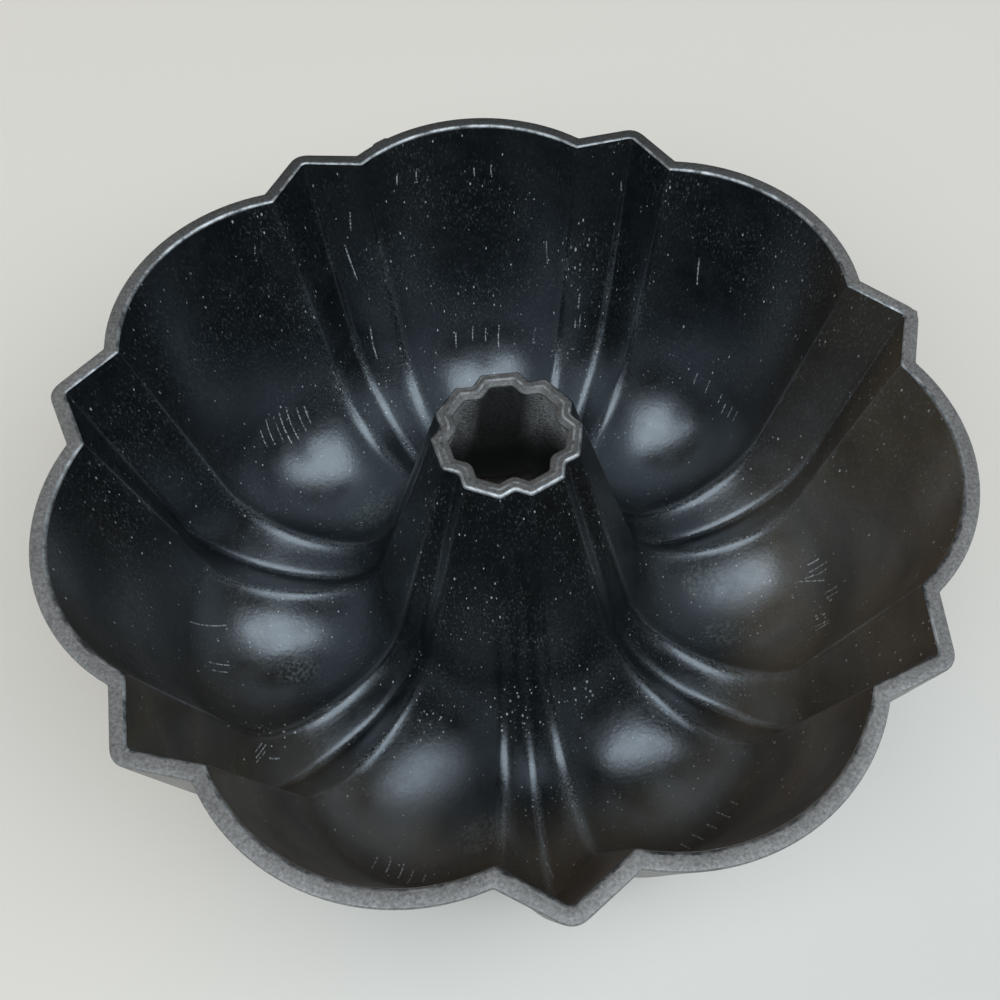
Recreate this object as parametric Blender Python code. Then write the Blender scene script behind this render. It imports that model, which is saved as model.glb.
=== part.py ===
"""Mini fluted tube pan: a one-piece aluminium casting with seven round lobes between seven
pointed flutes, which run down the wall, across the floor and up the centre tube, and the
non-stick lining bonded to its inside. Metres, +Z up, feet on Z = 0, tube axis on Z."""

from math import acos, atan, cos, pi, radians, sin, tan

import bmesh
import bpy
import numpy as np

# Pattern: pointed flutes, with as many round lobes between them
FLUTES = 7
FIRST_FLUTE_ANGLE = radians(-90)

# Lined face at the rim, measured from the axis in the rim's plane
LOBE_RIM_RADIUS = 0.1021
FLUTE_RIM_RADIUS = 0.1027
NOTCH_RIM_RADIUS = 0.0941
NOTCH_RIM_HALF_GAP = 0.01306

# Lined face at the tube's lip
TUBE_CORNER_RADIUS = 0.01712
TUBE_CORNER_HALF_GAP = 0.00342
TUBE_GROOVE_RADIUS = 0.0153

# Lowest places of the lined face: the lobes' floor below the rim, how far the flutes' crests and
# roots stand above it, and where each is lowest from the axis
LOBE_DEPTH = 0.0860
CREST_RISE = 0.0091
ROOT_RISE = 0.0012
LOBE_BOTTOM_RADIUS = 0.0619
NOTCH_BOTTOM_RADIUS = 0.0572
FLUTE_BOTTOM_RADIUS = 0.0582

# Draft: how far each side leans from the vertical
LOBE_DRAFT = radians(12.0)
NOTCH_DRAFT = radians(13.2)
FLUTE_DRAFT = radians(11.1)
TUBE_DRAFT = radians(15.9)

# Thicknesses, measured square to the face
CASTING_WALL = 0.0030
LINING_THICKNESS = 0.0004
BOND_GAP = 0.0003

# Radii of the lined face along the flutes' roots and the crests beside them, which are crisp at
# the rim and the lip and soft on the floor
ROOT_RADIUS_AT_RIM = 0.0014
ROOT_RADIUS_ON_FLOOR = 0.0028
CREST_RADIUS_AT_RIM = 0.0010
CREST_RADIUS_ON_FLOOR = 0.0033

# The least radius that a crest keeps behind the face, and the bevel on the outer rim edges
LEAST_RADIUS = 0.0010
RIM_BEVEL = 0.0006

# Metal ground off under each lobe to make its foot
FOOT_GRIND = 0.0006

# Facets
LOBE_STEPS = 8
WALL_STEPS = 2
BEND_STEPS = 6
ROOT_STEPS = 2
CREST_STEPS = 2

NOTCH_DEPTH = LOBE_DEPTH - CREST_RISE
FLUTE_DEPTH = LOBE_DEPTH - ROOT_RISE
CASTING_FACE = LINING_THICKNESS + BOND_GAP
CASTING_BACK = CASTING_FACE + CASTING_WALL
PAN_HEIGHT =LOBE_DEPTH + CASTING_BACK - FOOT_GRIND
SECTOR = 2 * pi / FLUTES

# How far the sides are drawn past the rim before they are cut level there
OVERRUN = 2 * CASTING_BACK

# A round takes up at most this share of each face that it joins
LONGEST_ROUND = 0.42

# Places kept on a lobe's arc before it is cut back to its rounds, and the share of the arc
# next to each crest where none is kept
ARC_PLACES = 3 * LOBE_STEPS
NEAR_CREST = 0.03

# Facets that meet at a point count as one plane where their normals spread by less than this
SAME_PLANE = 0.05
SMOOTH_ANGLE = radians(35)

# A lobe that rises less than this between its crests is flat, as it is on the tube
FLAT_SAG = 1e-7


def clear_scene():
    for old in list(bpy.data.objects):
        bpy.data.objects.remove(old, do_unlink=True)
    for name in ("mini_fluted_tube_pan", "cutters"):
        bpy.context.scene.collection.children.link(bpy.data.collections.new(name))


def finish(name, colour, metallic, roughness):
    material = bpy.data.materials.new(name)
    material.use_nodes = True
    shader = material.node_tree.nodes["Principled BSDF"]
    shader.inputs["Base Color"].default_value = (*colour, 1)
    shader.inputs["Metallic"].default_value = metallic
    shader.inputs["Roughness"].default_value = roughness
    return material


def trough(rim_radius, tube_radius, depth, bottom_radius, wall_draft, tube_draft):
    """(radius, height) points of one line down the wall, round the floor and up the tube.

    Each side is straight and leans by its draft, and an arc joins it to the lowest point.
    """
    def bend(reach, draft):
        return (reach - depth * tan(draft)) / (1 / cos(draft) - tan(draft))

    def side(top_radius, draft, outwards):
        radius = bend(outwards * (top_radius - bottom_radius), draft)
        top = (top_radius + outwards * OVERRUN * tan(draft), OVERRUN)
        foot = (bottom_radius + outwards * radius * cos(draft), radius * (1 - sin(draft)) - depth)
        line = [
            tuple(a + (b - a) * step / WALL_STEPS for a, b in zip(top, foot))
            for step in range(WALL_STEPS)
        ]
        for step in range(BEND_STEPS + 1):
            turn = draft + (pi / 2 - draft) * step / BEND_STEPS
            line.append((
                bottom_radius + outwards * radius * cos(turn),
                radius * (1 - sin(turn)) - depth,
            ))
        return line

    wall = side(rim_radius, wall_draft, 1)
    tube = side(tube_radius, tube_draft, -1)
    return wall + tube[-2::-1]


def notch_half_gap(radius):
    """The notches on either side of a pointed flute draw together towards the tube."""
    spread = (NOTCH_RIM_HALF_GAP - TUBE_CORNER_HALF_GAP) / (NOTCH_RIM_RADIUS - TUBE_CORNER_RADIUS)
    return TUBE_CORNER_HALF_GAP + spread * (radius - TUBE_CORNER_RADIUS)


def lobe_arc(crest, middle):
    """Points from a crest round a lobe to its other crest, on the circle through its middle."""
    across = np.array([-sin(SECTOR / 2), cos(SECTOR / 2), 0.0])
    half_chord = -crest @ across
    centre = crest + half_chord * across
    rise = middle - centre
    sag = max(np.linalg.norm(rise), FLAT_SAG)
    half_turn = 2 * atan(sag / half_chord)
    radius = half_chord / sin(half_turn)
    points = []
    for place in np.linspace(-1, 1, ARC_PLACES + 1):
        height = radius * (cos(place * half_turn) - cos(half_turn))
        points.append(centre + radius * sin(place * half_turn) * across + height / sag * rise)
    return points


def facet_radius(corner_radius):
    """Distance from the axis to the flat of the tube between two of its corners."""
    return corner_radius * cos(SECTOR / 2) + notch_half_gap(corner_radius) * sin(SECTOR / 2)


def sharp_rows():
    """Rows of points round the pan, one above the other, before any corner is rounded.

    Each sector has one point at the flute's root, then the lobe from crest to crest.
    """
    facet_draft = atan(tan(TUBE_DRAFT) * (facet_radius(1) - facet_radius(0)))
    roots = trough(
        FLUTE_RIM_RADIUS, TUBE_GROOVE_RADIUS, FLUTE_DEPTH, FLUTE_BOTTOM_RADIUS,
        FLUTE_DRAFT, TUBE_DRAFT,
    )
    crests = trough(
        NOTCH_RIM_RADIUS, TUBE_CORNER_RADIUS, NOTCH_DEPTH, NOTCH_BOTTOM_RADIUS,
        NOTCH_DRAFT, TUBE_DRAFT,
    )
    lobes = trough(
        LOBE_RIM_RADIUS, facet_radius(TUBE_CORNER_RADIUS), LOBE_DEPTH, LOBE_BOTTOM_RADIUS,
        LOBE_DRAFT, facet_draft,
    )
    rows = []
    for (root_r, root_z), (crest_r, crest_z), (lobe_r, lobe_z) in zip(roots, crests, lobes):
        root = np.array([root_r, 0.0, root_z])
        crest = np.array([crest_r, notch_half_gap(crest_r), crest_z])
        middle = np.array([lobe_r * cos(SECTOR / 2), lobe_r * sin(SECTOR / 2), lobe_z])
        sector = [root, *lobe_arc(crest, middle)]
        row = []
        for flute in range(FLUTES):
            turn = FIRST_FLUTE_ANGLE + flute * SECTOR
            spin = np.array([[cos(turn), -sin(turn), 0], [sin(turn), cos(turn), 0], [0, 0, 1]])
            row.extend(spin @ point for point in sector)
        rows.append(row)
    return np.array(rows)


def pushed_back(rows, depth):
    """The rows moved into the metal, square to every facet that meets at a point."""
    down = rows[1:] - rows[:-1]
    around = np.roll(rows, -1, axis=1) - rows
    facets = np.cross(down, around[:-1])
    facets /= np.linalg.norm(facets, axis=2, keepdims=True)
    moved = rows.copy()
    for i in range(len(rows)):
        for j in range(rows.shape[1]):
            meeting = [
                facets[above][beside]
                for above in (i - 1, i) if 0 <= above < len(facets)
                for beside in (j - 1, j)
            ]
            square = np.linalg.pinv(np.array(meeting), rcond=SAME_PLANE).sum(axis=1)
            moved[i, j] += depth * square
    return moved


def cut_level(rows, height):
    """Ends the wall and the tube at this height, along their own lean."""
    rows = rows.copy()
    for end, inner in ((0, 1), (-1, -2)):
        share = (height - rows[inner, :, 2]) / (rows[end, :, 2] - rows[inner, :, 2])
        rows[end] = rows[inner] + share[:, None] * (rows[end] - rows[inner])
    return rows


def cut_back(line, first_cut, last_cut, steps):
    """A line of points, shortened by these lengths at its ends and evenly spaced."""
    line = np.array(line)
    along = np.append(0, np.cumsum(np.linalg.norm(np.diff(line, axis=0), axis=1)))
    places = np.linspace(first_cut, along[-1] - last_cut, steps + 1)
    return np.stack([np.interp(places, along, line[:, axis]) for axis in range(3)], 1)


def round_off(before, corner, after, radius, steps):
    """Points of a round at a corner between two lines, and how far it reaches along them."""
    back, on = before - corner, after - corner
    lengths = np.linalg.norm(back), np.linalg.norm(on)
    opening = acos(max(-1, min(1, back @ on / (lengths[0] * lengths[1]))))
    reach = min(radius / tan(opening / 2), LONGEST_ROUND * lengths[0])
    first, last = corner + back * reach / lengths[0], corner + on * reach / lengths[1]
    points = [
        (1 - t) ** 2 * first + 2 * t * (1 - t) * corner + t ** 2 * last
        for t in np.linspace(0, 1, steps + 1)
    ]
    return points, reach


def rounded(ring, root_radius, crest_radius):
    """One row with its roots and crests rounded and its lobes cut back to the rounds."""
    sectors = ring.reshape(FLUTES, -1, 3)
    points = []
    for before, sector, after in zip(np.roll(sectors, 1, 0), sectors, np.roll(sectors, -1, 0)):
        root, crest, arc, far_crest = sector[0], sector[1], sector[2:-1], sector[-1]
        chord = far_crest - crest
        places = (arc - crest) @ chord / (chord @ chord)
        arc = arc[(places > NEAR_CREST) & (places < 1 - NEAR_CREST)]
        root_points, _ = round_off(before[-1], root, crest, root_radius, ROOT_STEPS)
        crest_points, reach = round_off(root, crest, arc[0], crest_radius, CREST_STEPS)
        far_points, far_reach = round_off(after[0], far_crest, arc[-1], crest_radius, CREST_STEPS)
        lobe = cut_back([crest, *arc, far_crest], reach, far_reach, LOBE_STEPS)
        points += [*root_points, *crest_points, *lobe[1:-1], *far_points[::-1]]
    return points


def between(at_rim, on_floor, ring):
    """A size that grows from the rim and the lip to the floor, at the level of this row."""
    lowness = min(1, max(0, -ring[0, 2] / FLUTE_DEPTH))
    return at_rim + lowness * (on_floor - at_rim)


def skin(depth, height=0.0):
    """The rows of the surface that lies this far behind the lined face, cut at this height."""
    rows = []
    for ring in cut_level(pushed_back(sharp_rows(), depth), height):
        root_radius = between(ROOT_RADIUS_AT_RIM, ROOT_RADIUS_ON_FLOOR, ring)
        crest_radius = between(CREST_RADIUS_AT_RIM, CREST_RADIUS_ON_FLOOR, ring)
        rows.append(rounded(ring, root_radius + depth, max(LEAST_RADIUS, crest_radius - depth)))
    return rows


def weave(mesh, upper, lower, faces_channel):
    """Joins two rows with triangles, split alike on every skin and mirrored about each flute."""
    count = len(upper)
    half_sector = count / FLUTES / 2
    for j in range(count):
        k = (j + 1) % count
        if (j - ROOT_STEPS / 2) % (2 * half_sector) < half_sector:
            pair = (upper[j], upper[k], lower[k]), (upper[j], lower[k], lower[j])
        else:
            pair = (upper[j], upper[k], lower[j]), (upper[k], lower[k], lower[j])
        for triangle in pair:
            mesh.faces.new(triangle if faces_channel else triangle[::-1])


def closed_body(name, face, back, material):
    """One solid between the skin that faces the channel and the skin behind it."""
    mesh = bmesh.new()
    face, back = (
        [[mesh.verts.new((x, y, z + PAN_HEIGHT)) for x, y, z in row] for row in rows]
        for rows in (face, back)
    )
    over_the_rims = [back[0]] + face + [back[-1]]
    for upper, lower in zip(over_the_rims, over_the_rims[1:]):
        weave(mesh, upper, lower, True)
    for upper, lower in zip(back, back[1:]):
        weave(mesh, upper, lower, False)
    data = bpy.data.meshes.new(name)
    mesh.to_mesh(data)
    mesh.free()
    data.materials.append(material)
    data.shade_smooth()
    data.set_sharp_from_angle(angle=SMOOTH_ANGLE)
    body = bpy.data.objects.new(name, data)
    bpy.data.collections["mini_fluted_tube_pan"].objects.link(body)
    return body


def nonstick_lining():
    coat = finish("nonstick_coating", (0.012, 0.013, 0.015), 0.0, 0.32)
    return closed_body("nonstick_lining", skin(0.0), skin(LINING_THICKNESS), coat)


def pan_casting():
    """The cast shell: its face lies behind the lining, and its outer rim edges are bevelled."""
    rim = skin(CASTING_BACK - RIM_BEVEL)
    back = [rim[0]] + skin(CASTING_BACK, -RIM_BEVEL) + [rim[-1]]
    metal = finish("cast_aluminium", (0.33, 0.34, 0.35), 0.9, 0.5)
    return closed_body("pan_casting", skin(CASTING_FACE), back, metal)


def grind_feet(casting):
    """A level cut under the lobes leaves a small flat foot on each."""
    side = 4 * LOBE_RIM_RADIUS
    bpy.ops.mesh.primitive_cube_add(size=side, location=(0, 0, -side / 2))
    cutter = bpy.context.object
    cutter.name = "foot_cutter"
    cutter.hide_render = True
    cutter.display_type = "WIRE"
    for holder in list(cutter.users_collection):
        holder.objects.unlink(cutter)
    bpy.data.collections["cutters"].objects.link(cutter)
    cut = casting.modifiers.new("ground_feet", "BOOLEAN")
    cut.operation = "DIFFERENCE"
    cut.object = cutter


clear_scene()
nonstick_lining()
grind_feet(pan_casting())
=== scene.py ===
from math import acos, atan, cos, pi, radians, sin, tan

import bpy
import numpy as np
from mathutils import Matrix, Vector


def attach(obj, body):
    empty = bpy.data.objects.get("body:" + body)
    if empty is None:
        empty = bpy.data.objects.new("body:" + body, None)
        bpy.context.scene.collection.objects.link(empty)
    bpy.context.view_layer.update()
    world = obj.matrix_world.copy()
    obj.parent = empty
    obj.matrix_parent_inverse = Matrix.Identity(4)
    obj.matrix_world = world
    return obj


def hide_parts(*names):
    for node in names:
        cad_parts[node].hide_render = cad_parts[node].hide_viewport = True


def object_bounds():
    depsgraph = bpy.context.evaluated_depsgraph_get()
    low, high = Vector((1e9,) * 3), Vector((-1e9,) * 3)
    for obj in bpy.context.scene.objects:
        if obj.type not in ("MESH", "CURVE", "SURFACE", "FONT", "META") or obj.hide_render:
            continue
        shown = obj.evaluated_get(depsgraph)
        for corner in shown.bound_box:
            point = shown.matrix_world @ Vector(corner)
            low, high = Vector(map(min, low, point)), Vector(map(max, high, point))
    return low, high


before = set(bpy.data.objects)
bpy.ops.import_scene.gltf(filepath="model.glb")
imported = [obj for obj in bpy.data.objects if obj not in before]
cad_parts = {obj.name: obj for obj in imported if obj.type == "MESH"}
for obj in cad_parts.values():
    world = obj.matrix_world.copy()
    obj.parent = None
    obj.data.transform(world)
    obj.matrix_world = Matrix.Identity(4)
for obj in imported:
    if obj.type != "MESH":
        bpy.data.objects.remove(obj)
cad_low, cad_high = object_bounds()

FLUTES = 7
FIRST_FLUTE_ANGLE = radians(-90)
SECTOR = 2 * pi / FLUTES
RIM_HEIGHT = cad_high.z

# One line down the wall, across the floor and up the tube: radius at the rim, draft of the wall,
# radius and depth of its lowest point, radius at the tube's lip, draft of the tube
FLUTE_LINE = 0.1027, radians(11.1), 0.0582, 0.0848, 0.0153, radians(15.9)
NOTCH_LINE = 0.0941, radians(13.2), 0.0572, 0.0769, 0.01712, radians(15.9)
LOBE_RIM_RADIUS, LOBE_DRAFT, LOBE_BOTTOM_RADIUS, LOBE_DEPTH = 0.1021, radians(12), 0.0619, 0.0860
# Half the gap between the two crests beside a flute, at the rim and at the tube's lip
NOTCH_RIM_HALF_GAP, TUBE_CORNER_HALF_GAP = 0.01306, 0.00342

# The film's drawn thickness, the air behind it, and how far behind its face the wall's back lies
FILM, FILM_AIR, WALL_BACK = 0.00008, 0.00004, 0.00365
# Rounds of the grooves and ridges: crisp at the rim and the lip, soft on the floor
ROOT_RADIUS_AT_RIM, ROOT_RADIUS_ON_FLOOR = 0.0014, 0.0028
CREST_RADIUS_AT_RIM, CREST_RADIUS_ON_FLOOR = 0.0010, 0.0033
LEAST_RADIUS = 0.0010
RIM_INNER_BEVEL, RIM_OUTER_BEVEL = 0.0006, 0.0007
LIP_INNER_BEVEL, LIP_OUTER_BEVEL = 0.0005, 0.0006
# The lip is faced level on its outer half only, and falls a little from there to the bore
LIP_BAND, LIP_FALL, LIP_STEP_BEVEL = 0.5, 0.0005, 0.0003

STRAIGHT_ROWS, BEND_ROWS = 8, 22
ROOT_STEPS, FLANK_STEPS, CREST_STEPS, LOBE_STEPS = 6, 3, 4, 26
# The lines start this far above the rim, so that they can be cut off level once they are moved back
OVERRUN = 0.008
# The most of a flank that a round may take, the share of a lobe's arc that is too near a crest to
# keep, the least rise of an arc, and how nearly level facets lie that count as one plane
LONGEST_ROUND, NEAR_CREST, LEAST_SAG, SAME_PLANE = 0.42, 0.03, 1e-7, 0.05
# Points nearer than this are one, edges that turn less than this look round, and a broken edge has
# this many facets across it
WELD, SMOOTH_TURN, EDGE_FACETS = 1e-6, radians(32), 3


def line_down(line):
    """(radius, height) points down the wall, round the floor and up the tube."""
    rim_radius, wall_draft, bottom_radius, depth, tube_radius, tube_draft = line
    sides = []
    for top, draft, outwards in ((rim_radius, wall_draft, 1), (tube_radius, tube_draft, -1)):
        reach = outwards * (top - bottom_radius)
        bend = (reach - depth * tan(draft)) / (1 / cos(draft) - tan(draft))
        high = np.array([reach + OVERRUN * tan(draft), OVERRUN])
        foot = np.array([bend * cos(draft), bend * (1 - sin(draft)) - depth])
        straight = [high + (foot - high) * s for s in np.linspace(0, 1, STRAIGHT_ROWS + 1)[:-1]]
        curve = [
            np.array([bend * cos(turn), bend * (1 - sin(turn)) - depth])
            for turn in np.linspace(draft, pi / 2, BEND_ROWS + 1)
        ]
        sides.append([(bottom_radius + outwards * r, z) for r, z in straight + curve])
    return sides[0] + sides[1][-2::-1]


def notch_half_gap(radius):
    """The crests on either side of a pointed flute draw together towards the tube."""
    run = NOTCH_LINE[0] - NOTCH_LINE[4]
    spread = (NOTCH_RIM_HALF_GAP - TUBE_CORNER_HALF_GAP) / run
    return TUBE_CORNER_HALF_GAP + spread * (radius - NOTCH_LINE[4])


def tube_flat_radius(corner_radius):
    """How far the tube's flats, between its flutes, lie from the axis, from its corners' radius."""
    return corner_radius * cos(SECTOR / 2) + notch_half_gap(corner_radius) * sin(SECTOR / 2)


def lobe_arc(crest, middle):
    """The arc from a crest, through the lobe's middle, to its other crest."""
    across = np.array([-sin(SECTOR / 2), cos(SECTOR / 2), 0.0])
    half_chord = -crest @ across
    centre = crest + half_chord * across
    rise = middle - centre
    sag = max(np.linalg.norm(rise), LEAST_SAG)
    half_turn = 2 * atan(sag / half_chord)
    radius = half_chord / sin(half_turn)
    return [
        centre + radius * sin(place * half_turn) * across
        + radius * (cos(place * half_turn) - cos(half_turn)) / sag * rise
        for place in np.linspace(-1, 1, 2 * LOBE_STEPS + 1)
    ]


def sharp_form():
    """The channel's face before any corner is rounded, as rows of points round the pan."""
    flat_draft = atan(tan(NOTCH_LINE[5]) * (tube_flat_radius(1) - tube_flat_radius(0)))
    lobe_line = (
        LOBE_RIM_RADIUS, LOBE_DRAFT, LOBE_BOTTOM_RADIUS, LOBE_DEPTH,
        tube_flat_radius(NOTCH_LINE[4]), flat_draft,
    )
    rows = []
    for root, crest, lobe in zip(*map(line_down, (FLUTE_LINE, NOTCH_LINE, lobe_line))):
        crest_point = np.array([crest[0], notch_half_gap(crest[0]), crest[1]])
        middle = np.array([lobe[0] * cos(SECTOR / 2), lobe[0] * sin(SECTOR / 2), lobe[1]])
        sector = np.array([[root[0], 0.0, root[1]], *lobe_arc(crest_point, middle)])
        row = []
        for flute in range(FLUTES):
            turn = FIRST_FLUTE_ANGLE + flute * SECTOR
            spin = np.array([[cos(turn), -sin(turn), 0], [sin(turn), cos(turn), 0], [0, 0, 1]])
            row.append(sector @ spin.T)
        rows.append(np.concatenate(row))
    return np.array(rows)


def moved_back(rows, depth):
    """The form moved into the metal, square to every facet that meets at a point."""
    facets = np.cross(rows[1:] - rows[:-1], (np.roll(rows, -1, axis=1) - rows)[:-1])
    facets /= np.linalg.norm(facets, axis=2, keepdims=True)
    above = np.concatenate([facets[:1], facets])
    below = np.concatenate([facets, facets[-1:]])
    meeting = np.stack([above, np.roll(above, 1, 1), below, np.roll(below, 1, 1)], axis=2)
    square = np.linalg.pinv(meeting, rcond=SAME_PLANE).sum(axis=3)
    return rows + depth * square


def levelled(rows, rim, lip):
    """Ends the wall and the tube at these heights, along their own lean."""
    rows = rows.copy()
    for end, inner, height in ((0, 1, rim), (-1, -2, lip)):
        share = (height - rows[inner, :, 2]) / (rows[end, :, 2] - rows[inner, :, 2])
        rows[end] = rows[inner] + share[:, None] * (rows[end] - rows[inner])
    return rows


def spaced(line, first_cut, last_cut, steps):
    """A line of points, shortened at its ends and evenly spaced."""
    line = np.array(line)
    along = np.append(0, np.cumsum(np.linalg.norm(np.diff(line, axis=0), axis=1)))
    places = np.linspace(first_cut, along[-1] - last_cut, steps + 1)
    return np.stack([np.interp(places, along, line[:, axis]) for axis in range(3)], 1)


def round_off(before, corner, after, radius, steps):
    """The points of a round at a corner, and how far down its sides the round reaches."""
    back, on = before - corner, after - corner
    lengths = np.linalg.norm(back), np.linalg.norm(on)
    opening = acos(max(-1, min(1, back @ on / (lengths[0] * lengths[1]))))
    reach = min(radius / tan(opening / 2), LONGEST_ROUND * lengths[0])
    first, last = corner + back * reach / lengths[0], corner + on * reach / lengths[1]
    points = [
        (1 - t) ** 2 * first + 2 * t * (1 - t) * corner + t ** 2 * last
        for t in np.linspace(0, 1, steps + 1)
    ]
    return points, reach


def eased_row(row, root_radius, crest_radius):
    """A row with its roots and crests rounded and its lobes cut back to the rounds."""
    sectors = row.reshape(FLUTES, -1, 3)
    roots, bodies = [], []
    for before, sector, after in zip(np.roll(sectors, 1, 0), sectors, np.roll(sectors, -1, 0)):
        root, crest, arc, far_crest = sector[0], sector[1], sector[2:-1], sector[-1]
        chord = far_crest - crest
        places = (arc - crest) @ chord / (chord @ chord)
        arc = arc[(places > NEAR_CREST) & (places < 1 - NEAR_CREST)]
        roots.append(round_off(before[-1], root, crest, root_radius, ROOT_STEPS)[0])
        near, reach = round_off(root, crest, arc[0], crest_radius, CREST_STEPS)
        far, far_reach = round_off(after[0], far_crest, arc[-1], crest_radius, CREST_STEPS)
        lobe = spaced([crest, *arc, far_crest], reach, far_reach, LOBE_STEPS)
        bodies.append([*near, *lobe[1:-1], *far[::-1]])
    points = []
    for root, body, next_root in zip(roots, bodies, roots[1:] + roots[:1]):
        points += [*root, *spaced([root[-1], body[0]], 0, 0, FLANK_STEPS)[1:-1]]
        points += [*body, *spaced([body[-1], next_root[0]], 0, 0, FLANK_STEPS)[1:-1]]
    return points


SHARP_FORM = sharp_form()


def skin(depth, rim_drop=0.0, lip_drop=0.0):
    """The surface that lies this far behind the channel's face, in the pan's own place."""
    rows = []
    for row in levelled(moved_back(SHARP_FORM, depth), -rim_drop, -lip_drop):
        # 0 at the rim and the lip, 1 on the floor
        low = min(1, max(0, -row[0, 2] / FLUTE_LINE[3]))
        root = ROOT_RADIUS_AT_RIM + low * (ROOT_RADIUS_ON_FLOOR - ROOT_RADIUS_AT_RIM)
        crest = CREST_RADIUS_AT_RIM + low * (CREST_RADIUS_ON_FLOOR - CREST_RADIUS_AT_RIM)
        rows.append(eased_row(row, root + depth, max(LEAST_RADIUS, crest - depth)))
    return np.array(rows) + [0, 0, RIM_HEIGHT]


def pressed_body(name, face, back):
    """A flat grid, rolled and pressed to a face, over the lip, back under it and shut at the rim."""
    rows = np.concatenate([face, back[::-1], face[:1]])
    rows = np.concatenate([rows, rows[:, :1]], axis=1)
    bpy.ops.object.select_all(action="DESELECT")
    bpy.ops.mesh.primitive_grid_add(
        x_subdivisions=rows.shape[1] - 1, y_subdivisions=rows.shape[0] - 1
    )
    body = bpy.context.object
    body.name = body.data.name = name
    body.data.vertices.foreach_set("co", rows.reshape(-1))
    body.location = (0, 0, 0)
    bpy.ops.object.mode_set(mode="EDIT")
    bpy.ops.mesh.select_all(action="SELECT")
    bpy.ops.mesh.remove_doubles(threshold=WELD)
    bpy.ops.mesh.normals_make_consistent(inside=False)
    bpy.ops.object.mode_set(mode="OBJECT")
    return body


def to_the_micron(point):
    return tuple(round(float(value), 6) for value in point)


def select_loop(body, loop):
    """Selects the edges that run between these points, with the body in edit mode."""
    corners = {to_the_micron(point) for point in loop}
    bpy.ops.mesh.select_all(action="DESELECT")
    bpy.ops.mesh.select_mode(type="EDGE")
    bpy.ops.object.mode_set(mode="OBJECT")
    for edge in body.data.edges:
        edge.select = all(to_the_micron(body.data.vertices[end].co) in corners for end in edge.vertices)
    bpy.ops.object.mode_set(mode="EDIT")


face, back = skin(FILM + FILM_AIR), skin(WALL_BACK, 0.0, LIP_FALL)
bore_edge = back[-1]
lip_step = face[-1] + LIP_BAND * (bore_edge - face[-1])
lip_step[:, 2] = RIM_HEIGHT
casting = pressed_body("cast_shell", face, np.concatenate([back, [lip_step]]))
COAT, WORN_EDGE = 0, 1
# The broken edges: the points that each runs through, its width and its finish
edge_loops = (
    (face[0], RIM_INNER_BEVEL, WORN_EDGE),
    (back[0], RIM_OUTER_BEVEL, COAT),
    (face[-1], LIP_OUTER_BEVEL, WORN_EDGE),
    (lip_step, LIP_STEP_BEVEL, WORN_EDGE),
    (bore_edge, LIP_INNER_BEVEL, COAT),
)
for finish_slot in (COAT, WORN_EDGE):
    casting.data.materials.append(None)
bpy.ops.object.mode_set(mode="EDIT")
for loop, width, finish_slot in edge_loops:
    select_loop(casting, loop)
    bpy.ops.mesh.bevel(offset=width, segments=EDGE_FACETS, affect="EDGES", material=finish_slot)

# Grinding the feet leaves a bare flat under each lobe: all the facets that lie below this height
GROUND_LEVEL = 1e-5
bpy.ops.mesh.select_all(action="SELECT")
bpy.ops.mesh.bisect(
    plane_co=(0, 0, 0), plane_no=(0, 0, -1), use_fill=True, clear_outer=True, threshold=WELD
)
bpy.ops.object.mode_set(mode="OBJECT")
bpy.ops.object.shade_smooth_by_angle(angle=SMOOTH_TURN)
for facet in casting.data.polygons:
    if facet.center.z < GROUND_LEVEL:
        facet.material_index = WORN_EDGE


def hex_colour(text):
    """sRGB hex to linear light."""
    parts = (int(text[i:i + 2], 16) / 255 for i in (1, 3, 5))
    return (*(p / 12.92 if p <= 0.04045 else ((p + 0.055) / 1.055) ** 2.4 for p in parts), 1)


def add_node(tree, kind, inputs=None, **settings):
    """Adds a node; an input is given a value, or another node's output to link to it."""
    made = tree.nodes.new(kind)
    for name, value in settings.items():
        setattr(made, name, value)
    for socket, value in (inputs or {}).items():
        if isinstance(value, bpy.types.NodeSocket):
            tree.links.new(value, made.inputs[socket])
        else:
            made.inputs[socket].default_value = value
    return made


# Grit of the blasted casting under the coat, drawn as coarse as it needs to show, the clouds that a
# hand sprays, and a rubbed stretch of edge
COAT_GRIT, COAT_CLOUD, RUB_LENGTH = 0.0007, 0.02, 0.004
# Painted shade darkens the rim at the back, the lip, and the bore further down
SHADE_AT_BACK, SHADE_ON_LIP, SHADE_IN_STREAK = 0.72, 0.42, 0.85
SHADED_FROM, SHADED_TO = 0.03, 0.095
# Under the lip's own band, the bore has no painted shade down to the second depth and is fully shaded from
# the third
LIP_DEPTH, BORE_UNSHADED, BORE_FULL_SHADE = 0.0010, 0.012, 0.050
# The bore widens downwards: what lies within the first radius is bore, and past the second nothing is
BORE_INSIDE, BORE_MOUTH = 0.026, 0.052
# A painted shadow runs as a black streak down the middle of the bore, this wide on either side
STREAK_HALF, STREAK_EDGE = 0.0050, 0.0095


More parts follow.
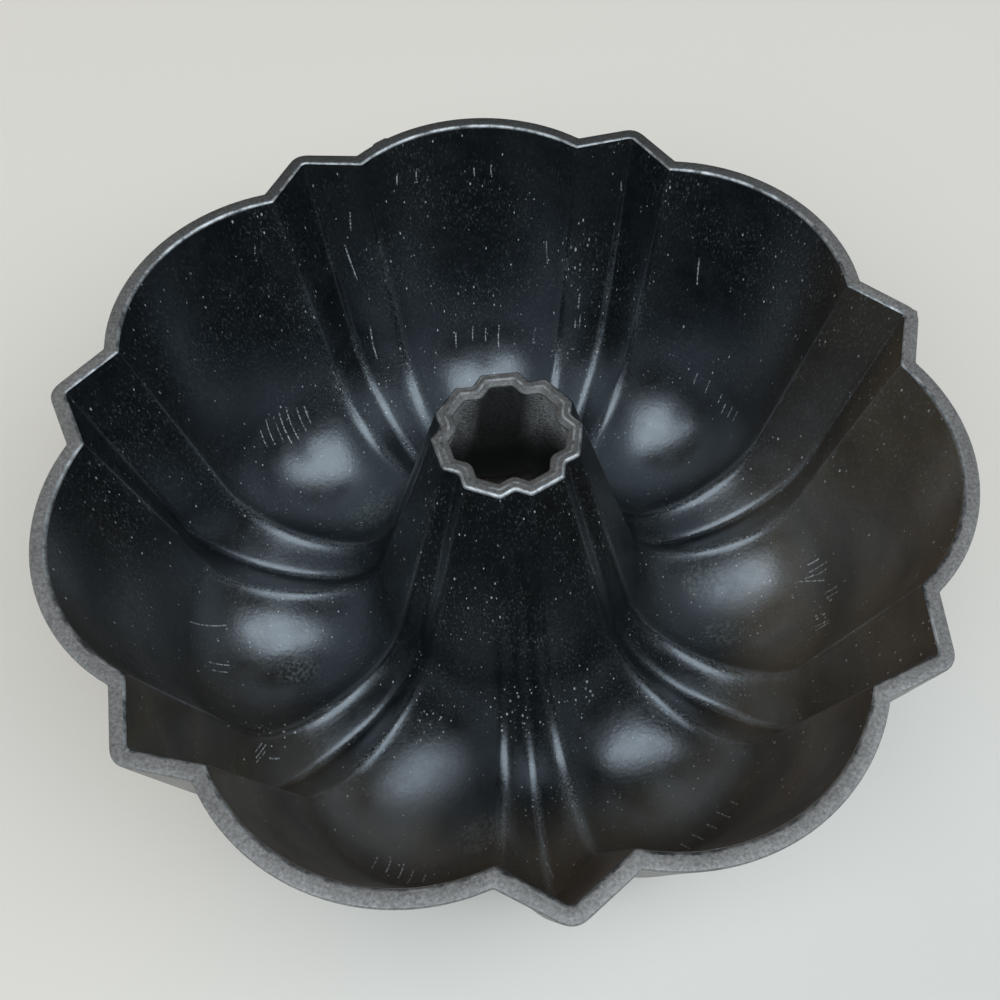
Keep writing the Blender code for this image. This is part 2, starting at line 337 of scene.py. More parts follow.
def sprayed_coat():
    """Heat-proof metallic grey spray over a blasted casting: gritty and dull, with painted light in the bore
    and painted shade deep in it, on the lip and at the back of the rim.
    """
    material = bpy.data.materials.new("sprayed_grey_coat")
    material.use_nodes = True
    tree = material.node_tree
    shader = tree.nodes["Principled BSDF"]
    place = add_node(tree, "ShaderNodeTexCoord").outputs["Object"]
    grit = add_node(tree, "ShaderNodeTexNoise", {
        "Vector": place, "Scale": 1 / COAT_GRIT, "Detail": 4.0, "Roughness": 0.7,
    })
    cloud = add_node(tree, "ShaderNodeTexNoise", {
        "Vector": place, "Scale": 1 / COAT_CLOUD, "Detail": 2.0,
    })
    passes = add_node(tree, "ShaderNodeMapRange", {
        "Value": cloud.outputs["Fac"], "From Min": 0.3, "From Max": 0.7, "To Min": 0.44, "To Max": 0.56,
    }).outputs[0]
    tone = add_node(tree, "ShaderNodeMath", {
        0: grit.outputs["Fac"], 1: passes,
    }, operation="MULTIPLY")
    ramp = add_node(tree, "ShaderNodeValToRGB", {"Fac": tone.outputs[0]})
    dark, pale = ramp.color_ramp.elements
    dark.position, dark.color = 0.14, hex_colour("#5b5a59")
    pale.position, pale.color = 0.38, hex_colour("#9b9a98")
    x, y, z = add_node(tree, "ShaderNodeSeparateXYZ", {0: place}).outputs
    # Painted shade: the coat darkens towards the back of the rim
    far = add_node(tree, "ShaderNodeMapRange", {
        "Value": y, "From Min": SHADED_FROM, "From Max": SHADED_TO, "To Max": SHADE_AT_BACK,
    }, interpolation_type="SMOOTHSTEP").outputs[0]
    flat = add_node(tree, "ShaderNodeCombineXYZ", {0: x, 1: y}).outputs[0]
    radius = add_node(tree, "ShaderNodeVectorMath", {0: flat}, operation="LENGTH").outputs["Value"]
    in_bore = add_node(tree, "ShaderNodeMapRange", {
        "Value": radius, "From Min": BORE_MOUTH, "From Max": BORE_INSIDE,
    }, interpolation_type="SMOOTHSTEP").outputs[0]
    below_lip = add_node(tree, "ShaderNodeMath", {
        0: z, 1: RIM_HEIGHT - LIP_DEPTH,
    }, operation="LESS_THAN").outputs[0]
    aside = add_node(tree, "ShaderNodeMath", {0: x}, operation="ABSOLUTE").outputs[0]
    streak = add_node(tree, "ShaderNodeMapRange", {
        "Value": aside, "From Min": STREAK_EDGE, "From Max": STREAK_HALF, "To Max": SHADE_IN_STREAK,
    }).outputs[0]
    streak = add_node(tree, "ShaderNodeMath", {0: streak, 1: below_lip}, operation="MULTIPLY").outputs[0]
    # In the bore the grain is painted pale, as painted light on its walls; the painted shade below darkens
    # it further down
    painted_bore_light = add_node(tree, "ShaderNodeMath", {0: below_lip, 1: in_bore}, operation="MULTIPLY").outputs[0]
    grain = add_node(tree, "ShaderNodeMapRange", {
        "Value": grit.outputs["Fac"], "From Min": 0.42, "From Max": 0.60,
    }).outputs[0]
    painted_bore_light = add_node(tree, "ShaderNodeMath", {0: painted_bore_light, 1: grain}, operation="MULTIPLY").outputs[0]
    coat = add_node(tree, "ShaderNodeMix", {
        "Factor": painted_bore_light, "A": ramp.outputs["Color"], "B": hex_colour("#f2f4f3"),
    }, data_type="RGBA").outputs[2]
    # Painted shade lies deep in the bore, in its streak, on the lip and at the back of the rim
    deep = add_node(tree, "ShaderNodeMapRange", {
        "Value": z, "From Min": RIM_HEIGHT - BORE_UNSHADED, "From Max": RIM_HEIGHT - BORE_FULL_SHADE,
    }, interpolation_type="SMOOTHSTEP").outputs[0]
    on_lip = add_node(tree, "ShaderNodeMapRange", {
        "Value": below_lip, "To Min": SHADE_ON_LIP, "To Max": 0.0,
    }).outputs[0]
    for share in (on_lip, streak):
        deep = add_node(tree, "ShaderNodeMath", {0: deep, 1: share}, operation="MAXIMUM").outputs[0]
    deep = add_node(tree, "ShaderNodeMath", {0: deep, 1: in_bore}, operation="MULTIPLY").outputs[0]
    painted_shade = add_node(tree, "ShaderNodeMath", {0: deep, 1: far}, operation="MAXIMUM").outputs[0]
    colour = add_node(tree, "ShaderNodeMix", {
        "Factor": painted_shade, "A": coat, "B": hex_colour("#12191b"),
    }, data_type="RGBA").outputs[2]
    tree.links.new(colour, shader.inputs["Base Color"])
    shader.inputs["Metallic"].default_value = 0.4
    shader.inputs["Roughness"].default_value = 0.48
    bump = add_node(tree, "ShaderNodeBump", {
        "Height": grit.outputs["Fac"], "Strength": 0.5, "Distance": COAT_GRIT / 4,
    })
    tree.links.new(bump.outputs["Normal"], shader.inputs["Normal"])
    return material


def worn_edge():
    """Aluminium rubbed or ground bare: brighter than the coat, with patches of it left."""
    material = bpy.data.materials.new("bare_aluminium_edge")
    material.use_nodes = True
    tree = material.node_tree
    shader = tree.nodes["Principled BSDF"]
    place = add_node(tree, "ShaderNodeTexCoord").outputs["Object"]
    rub = add_node(tree, "ShaderNodeTexNoise", {
        "Vector": place, "Scale": 1 / RUB_LENGTH, "Detail": 5.0, "Roughness": 0.7,
    })
    ramp = add_node(tree, "ShaderNodeValToRGB", {"Fac": rub.outputs["Fac"]})
    coated, bare = ramp.color_ramp.elements
    coated.position, coated.color = 0.38, hex_colour("#55585a")
    bare.position, bare.color = 0.64, hex_colour("#bfc2c3")
    tree.links.new(ramp.outputs["Color"], shader.inputs["Base Color"])
    shader.inputs["Metallic"].default_value = 0.7
    shader.inputs["Roughness"].default_value = 0.45
    return material


casting.data.materials[COAT] = sprayed_coat()
casting.data.materials[WORN_EDGE] = worn_edge()
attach(casting, "root")
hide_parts("pan_casting")

# Non-stick lining
# A thin black fluoropolymer coating, sprayed on the blasted inside and baked. It is satin, with a
# faint orange peel, and years of use have left specks, knife cuts and scuffed patches in it.
# The film ends this far under the rim and the lip, where their broken edges begin
LINING_RIM_DROP, LINING_LIP_DROP = 0.00066, 0.0006
lining = pressed_body(
    "lining_film",
    skin(0.0, LINING_RIM_DROP, LINING_LIP_DROP),
    skin(FILM, LINING_RIM_DROP, LINING_LIP_DROP),
)
bpy.ops.object.shade_smooth_by_angle(angle=SMOOTH_TURN)


# The film's orange peel, the grain that breaks up every mark, the clouds in which it greys, the
# smudges that dull its gloss, and the cells that hold at most one speck each
PEEL, GRAIN, CLOUD, SMUDGE, SPECK_CELL = 0.0011, 0.0006, 0.025, 0.006, 0.0012
# A speck's least radius, the most that chance and a place full of crumbs add to it, and the scale
# that draws it out down the wall
LEAST_SPECK, SPECK_SPREAD, CRUMB_EXTRA, SPECK_DRAW = 0.00007, 0.00017, 0.00016, 0.4
# Hair-fine flecks, as wide as this and drawn out down the walls
FLECK, FLECK_DRAW = 0.0004, 0.25
# A cut's half width, its bow as a share of the space between cuts, and the low wall's lean inwards
CUT_HALF_WIDTH, CUT_BOW, CUT_SLOPE = 0.00018, 0.1, radians(27)

# Knives have cut the film where cakes were loosened, most of all low on the lobes' walls: the middle
# of each fan of cuts, its lean from straight down in degrees, the space between cuts, their count,
# and the stretch of wall that they lie in
CUTS = (
    ((-0.0620, 0.0580, 0.0180), 12, 0.0025, 7, 0.013),
    ((-0.0005, 0.0852, 0.0180), 4, 0.0045, 4, 0.013),
    ((0.0165, 0.0815, 0.0209), 6, 0.0030, 1, 0.009),
    ((0.0300, 0.0781, 0.0281), -2, 0.0030, 1, 0.013),
    ((0.0720, 0.0470, 0.0203), -3, 0.0024, 4, 0.009),
    ((0.0660, 0.0570, 0.0218), -1, 0.0055, 2, 0.009),
    ((0.0849, -0.0092, 0.0202), 4, 0.0016, 3, 0.012),
    ((0.0831, -0.0118, 0.0172), 20, 0.0040, 1, 0.019),
    ((0.0860, -0.0187, 0.0238), 8, 0.0015, 2, 0.009),
    ((0.0813, -0.0261, 0.0197), -3, 0.0015, 2, 0.014),
    ((-0.0815, -0.0163, 0.0137), 2, 0.0023, 2, 0.011),
    ((-0.0815, -0.0056, 0.0176), -12, 0.0040, 1, 0.019),
    ((-0.0652, -0.0448, 0.0185), 10, 0.0030, 1, 0.010),
    ((-0.0679, -0.0446, 0.0234), -29, 0.0010, 3, 0.006),
    ((-0.0355, -0.0755, 0.0150), -6, 0.0032, 5, 0.012),
    ((0.0410, -0.0750, 0.0195), 4, 0.0042, 5, 0.012),
    ((0.0014, -0.0794, 0.0140), -8, 0.0030, 1, 0.011),
    ((0.0210, 0.0874, 0.0529), -5, 0.0020, 1, 0.013),
    ((-0.0363, 0.0858, 0.0588), -3, 0.0020, 1, 0.016),
    ((-0.0324, 0.0781, 0.0276), 3, 0.0030, 1, 0.018),
    ((0.0303, 0.0795, 0.0349), -1, 0.0020, 1, 0.024),
    ((-0.0343, 0.0878, 0.0716), 9, 0.0020, 1, 0.010),
    ((0.0625, 0.0697, 0.0597), -9, 0.0020, 1, 0.012),
    ((0.0038, 0.0991, 0.0760), 2, 0.0045, 2, 0.006),
    ((-0.0174, 0.0953, 0.0781), 6, 0.0050, 2, 0.006),
    ((0.0419, 0.0895, 0.0737), -9, 0.0030, 1, 0.007),
    ((-0.0598, 0.0748, 0.0773), 24, 0.0030, 1, 0.006),
)
# No fan holds more cuts than this, so that each cut has a number of its own
MOST_CUTS = 10

# Patches scuffed by a cloth or a spatula: their middles and half sizes
SCUFFS = (
    ((-0.0388, 0.0315, 0.0072), (0.0100, 0.0080, 0.0060)),
    ((0.0567, -0.0028, 0.0067), (0.0085, 0.0060, 0.0050)),
    ((0.0595, -0.0185, 0.0042), (0.0070, 0.0050, 0.0050)),
    ((-0.0154, -0.0681, 0.0103), (0.0070, 0.0060, 0.0060)),
    ((-0.0608, -0.0152, 0.0035), (0.0065, 0.0050, 0.0050)),
)
# Places where specks and crumbs lie thick: the tube's foot, the low walls and two far flutes
CRUMBS = (
    ((-0.0020, -0.0370, 0.0170), (0.0110, 0.0110, 0.0140)),
    ((0.0150, -0.0360, 0.0160), (0.0070, 0.0070, 0.0090)),
    ((-0.0250, -0.0360, 0.0120), (0.0070, 0.0060, 0.0060)),
    ((0.0040, -0.0830, 0.0200), (0.0060, 0.0060, 0.0090)),
    ((-0.0660, -0.0370, 0.0170), (0.0130, 0.0080, 0.0080)),
    ((0.0300, 0.0860, 0.0560), (0.0060, 0.0100, 0.0130)),
    ((0.0830, -0.0250, 0.0200), (0.0080, 0.0110, 0.0100)),
)
# Bowls whose gloss has been dulled by scrubbing, so that they shine wide and soft
DULLED = (
    ((-0.0270, -0.0560, 0.0030), (0.0240, 0.0190, 0.0120)),
    ((0.0567, -0.0100, 0.0040), (0.0200, 0.0170, 0.0120)),
)
# In half sizes of a patch, a distance that no longer matters
FAR_AWAY = 9.0


def knife_cuts(tree, place, grain):
    """All the fans of cuts, each square to its own heading; the grain breaks them into beads."""
    found = (0.0, 0.0, 0.0)
    for number, (centre, lean, space, count, length) in enumerate(CUTS):
        inwards = Vector((-centre[0], -centre[1], 0)).normalized()
        around = Vector((-centre[1], centre[0], 0)).normalized()
        plumb = sin(CUT_SLOPE) * inwards - cos(CUT_SLOPE) * Vector((0, 0, 1))
        down = cos(radians(lean)) * plumb + sin(radians(lean)) * around
        across = cos(radians(lean)) * around - sin(radians(lean)) * plumb
        axes = Matrix((across, down, across.cross(down))).transposed()
        fan = add_node(tree, "ShaderNodeMapping", {
            "Vector": place, "Location": centre, "Rotation": axes.to_euler(),
            "Scale": (count * space / 2, length / 2, length),
        }, vector_type="TEXTURE").outputs[0]
        far = add_node(tree, "ShaderNodeVectorMath", {0: fan}, operation="LENGTH").outputs["Value"]
        within = add_node(tree, "ShaderNodeMath", {0: far, 1: 1.0}, operation="LESS_THAN").outputs[0]
        lanes = add_node(tree, "ShaderNodeVectorMath", {
            0: fan, 1: (count / 2, 1.0, 0.0),
            2: (number * MOST_CUTS + count / 2, 0.0, CUT_HALF_WIDTH / space),
        }, operation="MULTIPLY_ADD").outputs[0]
        found = add_node(tree, "ShaderNodeVectorMath", {
            0: lanes, 1: within, 2: found,
        }, operation="MULTIPLY_ADD").outputs[0]
    lane, along, half_width = add_node(tree, "ShaderNodeSeparateXYZ", {0: found}).outputs
    square = add_node(tree, "ShaderNodeMath", {0: along, 1: along}, operation="MULTIPLY").outputs[0]
    bowed = add_node(tree, "ShaderNodeMath", {
        0: square, 1: CUT_BOW, 2: lane,
    }, operation="MULTIPLY_ADD").outputs[0]
    number = add_node(tree, "ShaderNodeMath", {0: bowed}, operation="FLOOR").outputs[0]
    beside = add_node(tree, "ShaderNodeMath", {0: bowed}, operation="FRACT").outputs[0]
    chance = add_node(tree, "ShaderNodeTexWhiteNoise", {"W": number}, noise_dimensions="1D")
    aside, start, reach = add_node(tree, "ShaderNodeSeparateXYZ", {0: chance.outputs["Color"]}).outputs
    middle = add_node(tree, "ShaderNodeMapRange", {
        "Value": aside, "To Min": 0.35, "To Max": 0.65,
    }).outputs[0]
    centred = add_node(tree, "ShaderNodeMapRange", {
        "Value": start, "To Min": -0.3, "To Max": 0.3,
    }).outputs[0]
    half_length = add_node(tree, "ShaderNodeMapRange", {
        "Value": reach, "To Min": 0.35, "To Max": 0.9,
    }).outputs[0]
    on_line = add_node(tree, "ShaderNodeMath", {
        0: beside, 1: middle, 2: half_width,
    }, operation="COMPARE").outputs[0]
    on_length = add_node(tree, "ShaderNodeMath", {
        0: along, 1: centred, 2: half_length,
    }, operation="COMPARE").outputs[0]
    cut = add_node(tree, "ShaderNodeMath", {0: on_line, 1: on_length}, operation="MULTIPLY").outputs[0]
    inside = add_node(tree, "ShaderNodeMath", {0: half_width, 1: 0.0}, operation="GREATER_THAN").outputs[0]
    cut = add_node(tree, "ShaderNodeMath", {0: cut, 1: inside}, operation="MULTIPLY").outputs[0]
    beads = add_node(tree, "ShaderNodeMapRange", {
        "Value": grain, "From Min": 0.43, "From Max": 0.58, "To Min": 0.1,
    }).outputs[0]
    cut = add_node(tree, "ShaderNodeMath", {0: cut, 1: beads}, operation="MULTIPLY").outputs[0]
    depth = add_node(tree, "ShaderNodeMapRange", {
        "Value": chance.outputs["Value"], "To Min": 0.5,
    }).outputs[0]
    return add_node(tree, "ShaderNodeMath", {0: cut, 1: depth}, operation="MULTIPLY").outputs[0]


def nearest_patch(tree, place, patches):
    """How far a point lies from the nearest patch's middle, as a share of that patch's half size."""
    nearest = FAR_AWAY
    for centre, reach in patches:
        share = add_node(tree, "ShaderNodeMapping", {
            "Vector": place, "Location": centre, "Scale": reach,
        }, vector_type="TEXTURE").outputs[0]
        far = add_node(tree, "ShaderNodeVectorMath", {0: share}, operation="LENGTH").outputs["Value"]
        nearest = add_node(tree, "ShaderNodeMath", {0: far, 1: nearest}, operation="MINIMUM").outputs[0]
    return nearest


def pale_specks(tree, place, cloud, worn_line):
    """Pinholes and crumbs, crowded in patches and along the worn ridges."""
    tall = add_node(tree, "ShaderNodeMapping", {"Vector": place, "Scale": (1, 1, SPECK_DRAW)}).outputs[0]
    cells = add_node(tree, "ShaderNodeTexVoronoi", {"Vector": tall, "Scale": 1 / SPECK_CELL})
    chance, size, bright = add_node(tree, "ShaderNodeSeparateXYZ", {0: cells.outputs["Color"]}).outputs
    crowd = add_node(tree, "ShaderNodeMapRange", {
        "Value": cloud, "From Min": 0.40, "From Max": 0.72, "To Min": 0.12, "To Max": 0.7,
    }).outputs[0]
    crowd = add_node(tree, "ShaderNodeMath", {
        0: worn_line, 1: 0.5, 2: crowd,
    }, operation="MULTIPLY_ADD").outputs[0]
    patch = add_node(tree, "ShaderNodeMapRange", {
        "Value": nearest_patch(tree, place, CRUMBS), "From Min": 1.0, "From Max": 0.3, "To Max": 0.8,
    }).outputs[0]
    crowd = add_node(tree, "ShaderNodeMath", {0: crowd, 1: patch}, operation="ADD").outputs[0]
    present = add_node(tree, "ShaderNodeMath", {0: chance, 1: crowd}, operation="LESS_THAN").outputs[0]
    radius = add_node(tree, "ShaderNodeMath", {
        0: size, 1: SPECK_SPREAD / SPECK_CELL, 2: LEAST_SPECK / SPECK_CELL,
    }, operation="MULTIPLY_ADD").outputs[0]
    radius = add_node(tree, "ShaderNodeMath", {
        0: patch, 1: CRUMB_EXTRA / SPECK_CELL, 2: radius,
    }, operation="MULTIPLY_ADD").outputs[0]
    dot = add_node(tree, "ShaderNodeMath", {
        0: cells.outputs["Distance"], 1: radius,
    }, operation="LESS_THAN").outputs[0]
    shown = add_node(tree, "ShaderNodeMath", {0: dot, 1: present}, operation="MULTIPLY").outputs[0]
    shade = add_node(tree, "ShaderNodeMapRange", {"Value": bright, "To Min": 0.12}).outputs[0]
    return add_node(tree, "ShaderNodeMath", {0: shown, 1: shade}, operation="MULTIPLY").outputs[0]


def fine_flecks(tree, place, cloud):
    """A dust of faint flecks where the film has been wiped for years."""
    drawn = add_node(tree, "ShaderNodeMapping", {"Vector": place, "Scale": (1, 1, FLECK_DRAW)}).outputs[0]
    dust = add_node(tree, "ShaderNodeTexNoise", {
        "Vector": drawn, "Scale": 1 / FLECK, "Detail": 2.0, "Roughness": 0.6,
    }).outputs["Fac"]
    fleck = add_node(tree, "ShaderNodeMapRange", {
        "Value": dust, "From Min": 0.585, "From Max": 0.69,
    }).outputs[0]
    crowd = add_node(tree, "ShaderNodeMapRange", {
        "Value": cloud, "From Min": 0.38, "From Max": 0.58, "To Min": 0.2,
    }).outputs[0]
    return add_node(tree, "ShaderNodeMath", {0: fleck, 1: crowd}, operation="MULTIPLY").outputs[0]


def scuffed_patches(tree, place, cloud, peel):
    """Crinkled grey patches with ragged edges."""
    nearest = nearest_patch(tree, place, SCUFFS)
    ragged = add_node(tree, "ShaderNodeMath", {0: nearest, 1: cloud}, operation="ADD").outputs[0]
    inside = add_node(tree, "ShaderNodeMapRange", {
        "Value": ragged, "From Min": 1.6, "From Max": 1.2,
    }).outputs[0]
    lines = add_node(tree, "ShaderNodeMapRange", {
        "Value": peel, "From Min": 0.44, "From Max": 0.64,
    }).outputs[0]
    return add_node(tree, "ShaderNodeMath", {0: inside, 1: lines}, operation="MULTIPLY").outputs[0]


# Rubbing along the flutes, by shares of the film's outline from the rim: it is full between the first
# two, down the wall to the floor, and from the third on, up the tube, only this much of it is left
RUBBED_FROM, RUBBED_TO, TUBE_FROM, RUBBED_ON_TUBE = 0.09, 0.24, 0.36, 0.15
# It fades out this many columns from a root or a crest, and is full nearer than this
RUB_FADED, RUB_FULL = 2.8, 0.3


def ridge_wear(tree, cloud, grain):
    """Rubbing along each flute's root and crests, found from the film's own map."""
    sector_columns = ROOT_STEPS + 2 * FLANK_STEPS + 2 * CREST_STEPS + LOBE_STEPS
    crest_column = ROOT_STEPS / 2 + FLANK_STEPS + CREST_STEPS / 2
    film_map = add_node(tree, "ShaderNodeUVMap", uv_map="UVMap").outputs["UV"]
    u, v, _ = add_node(tree, "ShaderNodeSeparateXYZ", {0: film_map}).outputs
    turn = add_node(tree, "ShaderNodeMath", {
        0: u, 1: float(FLUTES), 2: 0.5 - ROOT_STEPS / 2 / sector_columns,
    }, operation="MULTIPLY_ADD").outputs[0]
    from_root = add_node(tree, "ShaderNodeMath", {
        0: add_node(tree, "ShaderNodeMath", {0: turn}, operation="FRACT").outputs[0], 1: 0.5,
    }, operation="SUBTRACT").outputs[0]
    aside = add_node(tree, "ShaderNodeMath", {0: from_root}, operation="ABSOLUTE").outputs[0]
    from_crest = add_node(tree, "ShaderNodeMath", {
        0: aside, 1: crest_column / sector_columns,
    }, operation="SUBTRACT").outputs[0]
    off = add_node(tree, "ShaderNodeMath", {0: from_crest}, operation="ABSOLUTE").outputs[0]
    off = add_node(tree, "ShaderNodeMath", {0: off, 1: aside}, operation="MINIMUM").outputs[0]
    line = add_node(tree, "ShaderNodeMapRange", {
        "Value": off, "From Min": RUB_FADED / sector_columns, "From Max": RUB_FULL / sector_columns,
    }).outputs[0]
    low_wall = add_node(tree, "ShaderNodeMapRange", {"Value": v, "From Max": RUBBED_FROM}).outputs[0]
    off_tube = add_node(tree, "ShaderNodeMapRange", {
        "Value": v, "From Min": TUBE_FROM, "From Max": RUBBED_TO, "To Min": RUBBED_ON_TUBE,
    }).outputs[0]
    for share in (low_wall, off_tube):
        line = add_node(tree, "ShaderNodeMath", {0: line, 1: share}, operation="MULTIPLY").outputs[0]
    rubbed = add_node(tree, "ShaderNodeMath", {0: grain, 1: cloud}, operation="MULTIPLY").outputs[0]
    speckled = add_node(tree, "ShaderNodeMapRange", {
        "Value": rubbed, "From Min": 0.23, "From Max": 0.38,
    }).outputs[0]
    return add_node(tree, "ShaderNodeMath", {0: line, 1: speckled}, operation="MULTIPLY").outputs[0]


# A warm brown glow is painted on the wall as painted light, outside this ring and on the near side: there is
# none where y with this share of x is above the first value, and it is full where that is below the second
NEAR_GLOW_FROM, NEAR_GLOW_FULL = 0.056, 0.078
NEAR_GLOW_NONE_AT, NEAR_GLOW_FULL_AT, NEAR_GLOW_TURN = 0.045, -0.055, -0.3
# How much rougher than the rest the film is where it is scuffed, rubbed or dulled
SCUFFED_ROUGHNESS = 0.14


def baked_coating():
    """Baked fluoropolymer: a cool satin black, grey where scuffed, with a warm brown glow painted on the
    near walls as painted light.
    """
    material = bpy.data.materials.new("baked_nonstick_coating")
    material.use_nodes = True
    tree = material.node_tree
    shader = tree.nodes["Principled BSDF"]
    place = add_node(tree, "ShaderNodeTexCoord").outputs["Object"]
    cloud, grain, peel = (
        add_node(tree, "ShaderNodeTexNoise", {
            "Vector": place, "Scale": 1 / width, "Detail": detail,
        }).outputs["Fac"]
        for width, detail in ((CLOUD, 3.0), (GRAIN, 1.0), (PEEL, 2.0))
    )
    line = ridge_wear(tree, cloud, grain)
    scuffed = scuffed_patches(tree, place, cloud, peel)
    specks = pale_specks(tree, place, cloud, line)
    cuts = knife_cuts(tree, place, grain)
    flecks = fine_flecks(tree, place, cloud)
    x, y, _ = add_node(tree, "ShaderNodeSeparateXYZ", {0: place}).outputs
    side = add_node(tree, "ShaderNodeMath", {
        0: x, 1: NEAR_GLOW_TURN, 2: y,
    }, operation="MULTIPLY_ADD").outputs[0]
    near_glow = add_node(tree, "ShaderNodeMapRange", {
        "Value": side, "From Min": NEAR_GLOW_NONE_AT, "From Max": NEAR_GLOW_FULL_AT,
    }, interpolation_type="SMOOTHSTEP").outputs[0]
    flat = add_node(tree, "ShaderNodeCombineXYZ", {0: x, 1: y}).outputs[0]
    radius = add_node(tree, "ShaderNodeVectorMath", {0: flat}, operation="LENGTH").outputs["Value"]
    outer = add_node(tree, "ShaderNodeMapRange", {
        "Value": radius, "From Min": NEAR_GLOW_FROM, "From Max": NEAR_GLOW_FULL,
    }, interpolation_type="SMOOTHSTEP").outputs[0]
    glow_patches = add_node(tree, "ShaderNodeMapRange", {
        "Value": cloud, "From Min": 0.35, "From Max": 0.65, "To Min": 0.5,
    }).outputs[0]
    for share in (outer, glow_patches):
        near_glow = add_node(tree, "ShaderNodeMath", {0: near_glow, 1: share}, operation="MULTIPLY").outputs[0]
    # Painted light: the near walls are tinted warm brown, in cloudy patches
    colour = add_node(tree, "ShaderNodeMix", {
        "Factor": near_glow, "A": hex_colour("#03070a"), "B": hex_colour("#595042"),
    }, data_type="RGBA").outputs[2]
    # Each mark, how strongly it covers the film, and its colour
    for share, strength, tone in (
        (line, 0.34, "#8f979b"), (scuffed, 0.26, "#7d857f"), (flecks, 0.26, "#8d9895"),
        (specks, 0.9, "#c3c9cb"), (cuts, 0.9, "#c3c9cb"),
    ):
        amount = add_node(tree, "ShaderNodeMath", {0: share, 1: strength}, operation="MULTIPLY").outputs[0]
        colour = add_node(tree, "ShaderNodeMix", {
            "Factor": amount, "A": colour, "B": hex_colour(tone),
        }, data_type="RGBA").outputs[2]
    tree.links.new(colour, shader.inputs["Base Color"])
    dulled = add_node(tree, "ShaderNodeMapRange", {
        "Value": nearest_patch(tree, place, DULLED), "From Min": 1.1, "From Max": 0.4,
    }, interpolation_type="SMOOTHSTEP").outputs[0]
    rubbed = add_node(tree, "ShaderNodeMath", {0: scuffed, 1: line}, operation="MAXIMUM").outputs[0]
    rubbed = add_node(tree, "ShaderNodeMath", {0: rubbed, 1: dulled}, operation="MAXIMUM").outputs[0]
    smudge = add_node(tree, "ShaderNodeTexNoise", {
        "Vector": place, "Scale": 1 / SMUDGE, "Detail": 4.0, "Roughness": 0.65,
    }).outputs["Fac"]
    rough = add_node(tree, "ShaderNodeMapRange", {
        "Value": smudge, "From Min": 0.35, "From Max": 0.65, "To Min": 0.29, "To Max": 0.38,
    }).outputs[0]
    rough = add_node(tree, "ShaderNodeMath", {
        0: rubbed, 1: SCUFFED_ROUGHNESS, 2: rough,
    }, operation="MULTIPLY_ADD").outputs[0]
    tree.links.new(rough, shader.inputs["Roughness"])
    shader.inputs["IOR"].default_value = 1.72
    shader.inputs["Specular IOR Level"].default_value = 1.0
    shader.inputs["Specular Tint"].default_value = hex_colour("#ecf5fd")
    bump = add_node(tree, "ShaderNodeBump", {"Height": peel, "Strength": 0.5, "Distance": PEEL / 10})
    tree.links.new(bump.outputs["Normal"], shader.inputs["Normal"])
    return material


lining.data.materials.append(baked_coating())
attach(lining, "root")
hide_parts("nonstick_lining")

# Studio
# A plain pale floor under one broad cool lamp, overhead in front, and a warm card far behind that
# lights the near walls without showing in the gloss. The camera stands close, 30 cm above the floor
# and a little left of the nearest flute, and looks down at 57 degrees.
FLOOR_WIDTH = 40
LAMPS_AIM = Vector((0, 0, 0.03))
bpy.ops.object.select_all(action="DESELECT")
bpy.ops.mesh.primitive_plane_add(size=FLOOR_WIDTH)
floor = bpy.context.object
floor.name = "floor"
paper = bpy.data.materials.new("pale_floor")
paper.use_nodes = True
paper.node_tree.nodes["Principled BSDF"].inputs["Base Color"].default_value = hex_colour("#dcd8d0")
paper.node_tree.nodes["Principled BSDF"].inputs["Roughness"].default_value = 0.9
floor.data.materials.append(paper)

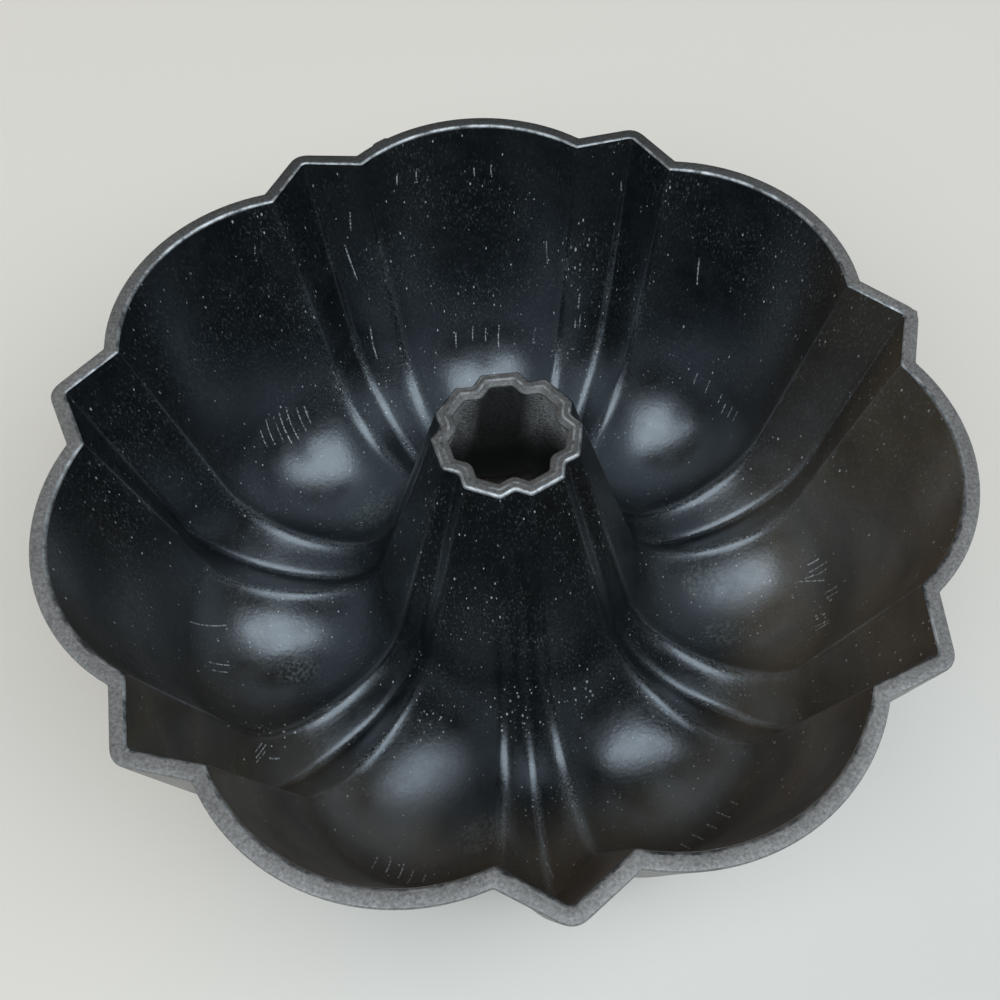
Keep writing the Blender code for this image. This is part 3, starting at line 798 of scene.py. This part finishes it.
LIGHTS = (
    # name, place, width and depth, watts, colour, whether it shows in reflections
    ("overhead_front", (0.17, -1.08, 2.30), (7.0, 2.5), 164.0, "#e6f0f8", True),
    ("warm_card", (-0.90, 1.80, 1.10), (2.0, 2.0), 16.0, "#ffdcb4", False),
)
for name, light_place, (width, deep), watts, tint, mirrored in LIGHTS:
    bpy.ops.object.light_add(type="AREA", location=light_place)
    lamp = bpy.context.object
    lamp.name = name
    lamp.visible_glossy = mirrored
    lamp.data.shape = "RECTANGLE"
    lamp.data.size, lamp.data.size_y = width, deep
    lamp.data.energy = watts
    lamp.data.color = hex_colour(tint)[:3]
    lamp.rotation_mode = "QUATERNION"
    lamp.rotation_quaternion = (Vector(light_place) - LAMPS_AIM).to_track_quat("Z", "Y")

world = bpy.data.worlds.new("studio")
world.use_nodes = True
world.node_tree.nodes["Background"].inputs["Color"].default_value = hex_colour("#c8ccd0")
world.node_tree.nodes["Background"].inputs["Strength"].default_value = 0.03
bpy.context.scene.world = world
bpy.context.scene.view_settings.view_transform = "Standard"

# Where a camera stands to see the rim, the lip and the ridges as in the photograph: its distances
# from the tube's axis and above the rim, before it is turned round the axis
CAMERA_BESIDE, CAMERA_BEHIND, CAMERA_ABOVE_RIM = 0.00604, 0.14358, 0.21213
LOOKING_DOWN, CAMERA_ROLL, TURNED = radians(57.366), radians(1.07), radians(-8.05)
FOCAL_LENGTH, SENSOR, SHIFT = 40.66, 36.0, (-0.0336, -0.0388)
ahead = Vector((0, cos(LOOKING_DOWN), -sin(LOOKING_DOWN)))
level, upright = Vector((1, 0, 0)), Vector((0, sin(LOOKING_DOWN), cos(LOOKING_DOWN)))
right = cos(CAMERA_ROLL) * level + sin(CAMERA_ROLL) * upright
up = cos(CAMERA_ROLL) * upright - sin(CAMERA_ROLL) * level
stand = Matrix((right, up, -ahead)).transposed().to_4x4()
stand.translation = (CAMERA_BESIDE, -CAMERA_BEHIND, RIM_HEIGHT + CAMERA_ABOVE_RIM)
bpy.ops.object.camera_add()
camera = bpy.context.object
camera.matrix_world = Matrix.Rotation(TURNED, 4, "Z") @ stand
camera.data.sensor_width = SENSOR
camera.data.lens = FOCAL_LENGTH
camera.data.shift_x, camera.data.shift_y = SHIFT
camera.data.clip_start = 0.01
bpy.context.scene.camera = camera
